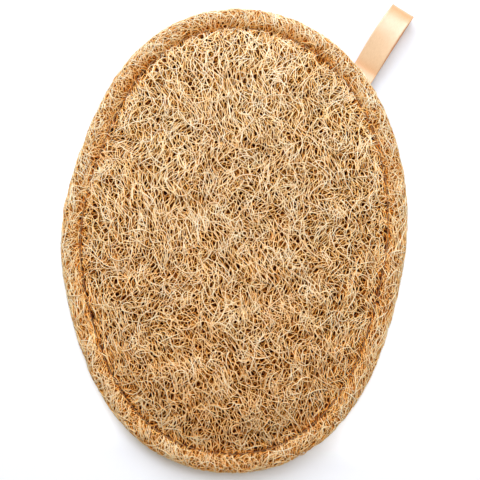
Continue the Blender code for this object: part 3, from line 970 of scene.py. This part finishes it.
def make_terry_loops():
    """Short yarn loops all over the back: each an oval arc that leans and turns its own way."""
    rng = np.random.default_rng(SCRIPT_SEED + 40)
    x, y = scatter(rng, 1.72 * MM, BACK_PROFILE, 0.8 * MM)
    count = len(x)
    turns = np.radians(np.linspace(-35, 215, 5))
    heading = rng.uniform(0, 2 * np.pi, count)[:, None]
    half = 0.55 * MM * rng.uniform(0.8, 1.2, count)[:, None]
    tall = 0.42 * MM * rng.uniform(0.85, 1.15, count)[:, None]
    along = half * np.cos(turns)
    lean = 0.3 * MM * rng.normal(0, 1, count)[:, None] * (1 + np.sin(turns))
    x = x[:, None] + along * np.cos(heading) - lean * np.sin(heading)
    y = y[:, None] + along * np.sin(heading) + lean * np.cos(heading)
    lifts = -TERRY_PILE + 0.2 * MM + tall * np.sin(turns)
    paths = on_back(x, y, lifts)
    up = on_back(x, y, lifts + 0.5 * MM) - paths
    radii = np.broadcast_to(0.21 * MM * rng.uniform(0.85, 1.15, count)[:, None], x.shape)
    mesh = tube_mesh("terry_loops", paths, up, radii, 3)
    tones = np.clip(0.5 + 0.16 * rng.normal(0, 1, count), 0, 1)
    tones = np.broadcast_to(tones[:, None, None], (*x.shape, 3))
    depth = rise(lifts, -TERRY_PILE, 0.8 * MM)
    set_bake_place(mesh, tones, np.broadcast_to(depth[..., None], tones.shape))
    # Natural cotton terry: soft undyed yarn in short loops, matt and a little uneven in tone; the depth
    # ramp paints shade, darker down towards the ground cloth
    finish = {"Roughness": 0.9, "IOR": 1.45, "Specular IOR Level": 0.15}
    finish.update({"Sheen Weight": 0.3, "Sheen Roughness": 0.5})
    yarns = [(0, "#EBD6B8"), (0.5, "#F6E6D0"), (1, "#FDF3E4")]
    shades = [(0, "#B8946C"), (0.6, "#F8EEE0"), (1, "#FFFFFF")]
    material = yarn_material("cotton_terry_loops", finish, yarns, shades)
    add_piece("terry_loops", mesh, material, "pad")


make_terry()
make_terry_loops()


def even_angles(count, inset, start=0.0, spare=0.0, closed=True):
    """Angles of points that lie evenly along an inset curve, with spare left free beside start."""
    angles, run = inset_run(inset, start)
    wanted = np.linspace(spare, run[-1] - spare, count, endpoint=not closed)
    return np.interp(wanted, run, angles)


def thread_material(name, dark, light):
    """Twisted polyester thread: a soft sheen, darker in the groove between its two plies."""
    material, tree, shader = start_material(name, {"Roughness": 0.5, "IOR": 1.5, "Sheen Weight": 0.2})
    place = add_node(tree, "ShaderNodeTexCoord").outputs["Object"]
    noise = {"Scale": 1.8 / MM, "Detail": 2}
    bump = {"Strength": 0.4, "Distance": 0.05 * MM}
    add_pattern(tree, shader, place, noise, bump, [(0.35, dark), (0.65, light)])
    return material


def make_thread(name, angles, inset, height, material, closed=True):
    """Two plies twisted round each other along a row of sewing."""
    heading = edge_normal(angles)
    x, y = inset_curve(angles, inset)
    twist = 2 * np.pi * round(inset_length(inset) / PLY_TWIST) * np.arange(len(angles)) / len(angles)
    plies = []
    for start in (0, np.pi):
        out = PLY_OFFSET * np.cos(start + twist)
        z = height + PLY_OFFSET * np.sin(start + twist)
        plies.append(np.stack([x + out * np.cos(heading), y + out * np.sin(heading), z], axis=1))
    paths = np.array(plies)
    if closed:
        paths = np.concatenate([paths, paths[:, :1]], axis=1)
    up = np.broadcast_to([0.0, 0.0, 1.0], paths.shape)
    mesh = tube_mesh(name, paths, up, np.full(paths.shape[:2], PLY_RADIUS), 5)
    return add_piece(name, mesh, material, "pad")


def stitch_height(angles, near, away):
    """Height of a row of lockstitches: near the cloth at each needle hole and lifted away in between."""
    stitches = round(inset_length(STITCH_INSET) / STITCH_PITCH)
    share = np.arange(len(angles)) / len(angles) * stitches % 1
    return near + (away - near) * np.sin(np.pi * share) ** 0.5


def make_threads():
    """Topstitching with its upper and lower thread, and the thread that closes the seam."""
    # Tan thread, coloured darker brown as painted shade of the groove it lies in
    face = thread_material("polyester_thread_tan", "#84572C", "#AC7E4C")
    back = thread_material("polyester_thread_cream", "#C2AC84", "#E2D2AE")
    angles = even_angles(1800, STITCH_INSET)
    lift = THREAD / 2 + GAP
    top = stitch_height(angles, GROOVE_FLOOR + lift - 0.45 * MM, GROOVE_FLOOR + lift - 0.02 * MM)
    piece = make_thread("topstitch_thread", angles, STITCH_INSET, top, face)
    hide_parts("topstitch_top_thread")
    low = stitch_height(angles, BACK_STITCHED[0] - lift + 0.25 * MM, BACK_STITCHED[0] - lift - 0.2 * MM)
    piece = make_thread("bobbin_thread", angles, STITCH_INSET, low, back)
    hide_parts("topstitch_bobbin_thread")
    drift = (HINGE_OUTSET + SEAM_THREAD_INSET) * abs(math.tan(slant))
    spare = RIBBON_WIDTH / 2 / math.cos(slant) + drift + THREAD + GAP
    angles = even_angles(1800, SEAM_THREAD_INSET, LOOP_PLACE, spare, closed=False)
    height = np.full(len(angles), SEAM_HEIGHT)
    piece = make_thread("seam_thread", angles, SEAM_THREAD_INSET, height, back, False)
    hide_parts("closing_seam_thread")


# Where the ribbon leaves the seam: the hinge, and the directions out of the seam and along the ribbon
seam_heading = float(edge_normal(LOOP_PLACE))
slant = LOOP_HEADING - seam_heading
loop_way = np.array([math.cos(LOOP_HEADING), math.sin(LOOP_HEADING)])
loop_side = np.array([-loop_way[1], loop_way[0]])
loop_root = edge_radius(LOOP_PLACE) * np.array([math.cos(LOOP_PLACE), math.sin(LOOP_PLACE)])
hinge = loop_root + HINGE_OUTSET / math.cos(slant) * loop_way

make_threads()


def satin_material():
    """Polyester satin ribbon: long floats along the ribbon, so a broad soft shine across it.

    Where the points' painted-shade attribute is 1 the colour is a darker orange: painted shade where
    the ribbon leaves the seam, round the turn at its tip and over its lower leg, which is also painted
    more orange, as light through the satin would make it.
    """
    finish = {
        "Roughness": 0.36,
        "IOR": 1.5,
        "Specular IOR Level": 1.0,
        "Sheen Weight": 0.1,
        "Anisotropic": 0.4,
        "Coat Weight": 0.6,
        "Coat Roughness": 0.38,
    }
    material, tree, shader = start_material("polyester_satin_ribbon", finish)
    weave = add_node(tree, "ShaderNodeUVMap", {"uv_map": "ribbon_weave"}).outputs["UV"]
    scale = {"Scale": (0.7 / MM, 5.2 / MM, 1)}
    stretched = add_node(tree, "ShaderNodeMapping", None, scale, {"Vector": weave}).outputs["Vector"]
    bump = {"Strength": 0.25, "Distance": 0.04 * MM}
    stops = [(0.3, "#D8B48C"), (0.5, "#DFBC96"), (0.7, "#E5C4A0")]
    _, colour = add_pattern(tree, shader, stretched, {"Scale": 1, "Detail": 2}, bump, stops)
    ribbon_shade_colour = point_colour(tree, "ribbon_painted_shade", [(0, "#FFFFFF"), (1, "#FFC27E")])
    multiply_colours(tree, shader, colour, ribbon_shade_colour)
    return material


def make_ribbon():
    """Satin ribbon as one closed strip: in at the seam, out to the tip, and back under itself.

    Seen from the hinge, for a turn from 0 to 180 degrees the share of the reach is (1 - cos) / 2 and
    each leg stands off the middle by sin(turn) * sin(turn / 2), which is 0.77 at most. The section
    carried along it is a flat strip whose woven edges are a little thicker, and which hollows
    slightly across and waves a little along its loose part.
    """
    tail_steps = 13
    turns = np.linspace(0, np.pi, 72)
    stand_off = (LOOP_EYE + RIBBON) / 2 - (RIBBON + GAP) / 2
    leg = (RIBBON + GAP) / 2 + stand_off / 0.77 * np.sin(turns) * np.sin(turns / 2)
    share = (1 - np.cos(turns)) / 2
    tip = LOOP_REACH - HINGE_OUTSET / math.cos(slant) - RIBBON / 2
    start = (RIBBON + GAP / 2 + GAP) / math.cos(slant)
    along = start + (tip - start) * share
    tail_end = -(HINGE_OUTSET + TAIL_LENGTH - TAIL_SPARE) / math.cos(slant)
    tail = np.linspace(tail_end, start, tail_steps + 1)[:-1]
    u = np.concatenate([tail, along, along[-2::-1], tail[::-1]])
    z = np.concatenate([np.full(tail_steps, leg[0]), leg])
    z = np.concatenate([z, -z[-2::-1]])
    drift = np.zeros(len(u))
    drift[tail_steps : tail_steps + len(share)] = LOOP_DRIFT * np.sin(np.pi * share)
    run = run_along(u, z)
    near = bell(run[:, None], run, 1.3 * MM) * np.gradient(run)
    eased = near @ z / near.sum(axis=1)
    ease = 1 - rise(np.abs(u - start), 0, 7 * MM)
    z = z + (np.sign(z) * np.maximum(np.abs(eased), leg[0]) - z) * ease
    ahead = np.gradient(np.stack([u, z], 1), axis=0)
    ahead /= np.linalg.norm(ahead, axis=1, keepdims=True)
    w = RIBBON_WIDTH / 2
    place, thick = np.array(RIBBON_SECTION).T
    q = np.concatenate([place - w, w - place[-2::-1]])
    thick = np.concatenate([thick, thick[-2::-1]]) * RIBBON / 2
    q = np.concatenate([q, q[::-1]])
    across = np.concatenate([thick, -thick[::-1]])
    loose = rise(u, start, 6 * MM)[:, None]
    hollow = loose * RIBBON_HOLLOW * ((q / w) ** 2 - 0.4)
    wave = loose * RIBBON_WAVE * np.sin(run[:, None] / (4.1 * MM) + q / (2.2 * MM))
    push = across + hollow + wave
    pu = u[:, None] - ahead[:, 1:] * push
    pz = z[:, None] + ahead[:, :1] * push
    pq = q[None] + drift[:, None]
    points = np.empty((*pu.shape, 3))
    points[..., :2] = hinge + pu[..., None] * loop_way + pq[..., None] * loop_side
    points[..., 2] = SEAM_HEIGHT + pz
    rows, around = pu.shape
    number = np.arange(rows * around).reshape(rows, around)
    after = np.roll(number, -1, axis=1)
    walls = np.stack([number[:-1], after[:-1], after[1:], number[1:]], axis=-1)
    corners = np.concatenate([walls.ravel(), number[0, ::-1], number[-1]])
    sizes = np.concatenate([np.full(walls.size // 4, 4), [around, around]])
    mesh = make_mesh("satin_loop", points.reshape(-1, 3), corners, sizes)
    mesh.set_sharp_from_angle(angle=math.radians(50))
    set_map(mesh, "ribbon_weave", np.stack(np.broadcast_arrays(run[:, None], q[None]), axis=-1))
    # Painted shade, as weights of the darker orange: where the ribbon leaves the seam, round its tip,
    # and over the whole lower leg
    root_shade = 0.28 * bell(u, start, 2.6 * MM)
    tip_shade = 0.45 * bell(u, tip, 3.2 * MM)
    lower_leg_shade = 0.9 * (np.arange(rows) > rows // 2)
    set_values(mesh, "ribbon_painted_shade", np.repeat(np.max([root_shade, tip_shade, lower_leg_shade], axis=0), around))
    piece = add_piece("satin_loop", mesh, satin_material(), None)
    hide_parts("hang_loop", "hang_loop_tails")
    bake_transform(piece)


make_ribbon()


def make_stage():
    """White paper floor and a warm world, which the camera sees as white.

    The floor's glow, for the camera alone, is the larger of one that grows with the distance from the
    pad and of a band across the pad's middle: painted light that washes out the pad's shadow at its
    sides and leaves the shadow under its lower edge and beside the ribbon.
    """
    mesh = make_mesh("floor", [(-3, -3, 0), (3, -3, 0), (3, 3, 0), (-3, 3, 0)], [0, 1, 2, 3], [4])
    floor = add_object("floor", mesh)
    # Uncoated white paper: matt, a little bluish against the warm light that falls on it
    finish = {"Base Color": linear("#E6ECF8"), "Roughness": 0.9, "Emission Color": linear("#FFFFFF")}
    material, tree, shader = start_material("white_paper", finish)
    seen = add_node(tree, "ShaderNodeLightPath").outputs["Is Camera Ray"]
    place = add_node(tree, "ShaderNodeTexCoord").outputs["Object"]
    away = add_node(tree, "ShaderNodeVectorMath", {"operation": "LENGTH"}, links={"Vector": place})
    along = add_node(tree, "ShaderNodeSeparateXYZ", links={"Vector": place})
    # Each level follows a value between two places in metres, from its first strength to its last
    levels = []
    for kind, value, low, high, first, last in (
        ("LINEAR", away.outputs["Value"], 0.15, 1.2, 0.07, 0.9),
        ("SMOOTHSTEP", along.outputs["Y"], -0.086, -0.066, 0.07, 0.45),
        ("SMOOTHSTEP", along.outputs["Y"], 0.02, 0.055, 0.45, 0.09),
    ):
        kind = {"interpolation_type": kind}
        values = {"From Min": low, "From Max": high, "To Min": first, "To Max": last}
        node = add_node(tree, "ShaderNodeMapRange", kind, values, {"Value": value})
        levels.append(node.outputs["Result"])
    # The band is painted light on the floor, kept low under the pad's lower edge and beside the ribbon
    glow = levels[2]
    for way, other in (("MINIMUM", levels[1]), ("MAXIMUM", levels[0]), ("MULTIPLY", seen)):
        node = add_node(tree, "ShaderNodeMath", {"operation": way}, links={0: other, 1: glow})
        glow = node.outputs["Value"]
    tree.links.new(glow, shader.inputs["Emission Strength"])
    mesh.materials.append(material)
    world = bpy.data.worlds.new("studio")
    bpy.context.scene.world = world
    world.use_nodes = True
    sky = world.node_tree
    seen = add_node(sky, "ShaderNodeLightPath").outputs["Is Camera Ray"]
    strength = add_node(sky, "ShaderNodeMapRange", None, {"To Min": 0.4, "To Max": 1.0}, {"Value": seen})
    colours = {"A": linear("#FFE6C2"), "B": linear("#FFFFFF")}
    colour = add_node(sky, "ShaderNodeMix", {"data_type": "RGBA"}, colours, {"Factor": seen})
    background = sky.nodes["Background"]
    sky.links.new(colour.outputs["Result"], background.inputs["Color"])
    sky.links.new(strength.outputs["Result"], background.inputs["Strength"])


def add_lamp(name, place, size, power, colour):
    """Square soft box at a place, turned towards the pad."""
    light = bpy.data.lights.new(name, "AREA")
    light.shape = "SQUARE"
    light.size = size
    light.energy = power
    light.color = colour
    lamp = add_object(name, light)
    lamp.location = place
    lamp.rotation_mode = "QUATERNION"
    lamp.rotation_quaternion = Vector(place).to_track_quat("Z", "Y")


def add_camera():
    """Camera straight above the pad, placed so that the pad lies in the picture as in the photo."""
    camera = add_object("camera", bpy.data.cameras.new("camera"))
    bpy.context.scene.camera = camera
    camera.data.sensor_width = 36
    camera.data.lens = 120
    distance = PHOTO_PIXELS / PIXELS_PER_METRE * camera.data.lens / camera.data.sensor_width
    right = (PHOTO_PIXELS / 2 - PAD_RIGHT) / PIXELS_PER_METRE
    up = (PAD_DOWN - PHOTO_PIXELS / 2) / PIXELS_PER_METRE
    across = np.array([math.cos(PAD_ROLL), math.sin(PAD_ROLL)])
    along = np.array([-math.sin(PAD_ROLL), math.cos(PAD_ROLL)])
    camera.location = (*(right * across + up * along), distance + SCALE_HEIGHT)
    camera.rotation_euler = (0, 0, PAD_ROLL)


make_stage()
add_lamp("key", (-0.17, 0.55, 0.52), 0.7, 6.25, (0.95, 1.0, 1.06))
add_lamp("top", (0.2, 0.36, 1.2), 0.6, 5.3, (0.95, 1.0, 1.06))
add_lamp("fill", (0.5, -0.1, 0.7), 0.6, 0.9, (1.0, 0.94, 0.84))
add_camera()
bpy.context.scene.view_settings.view_transform = "Standard"
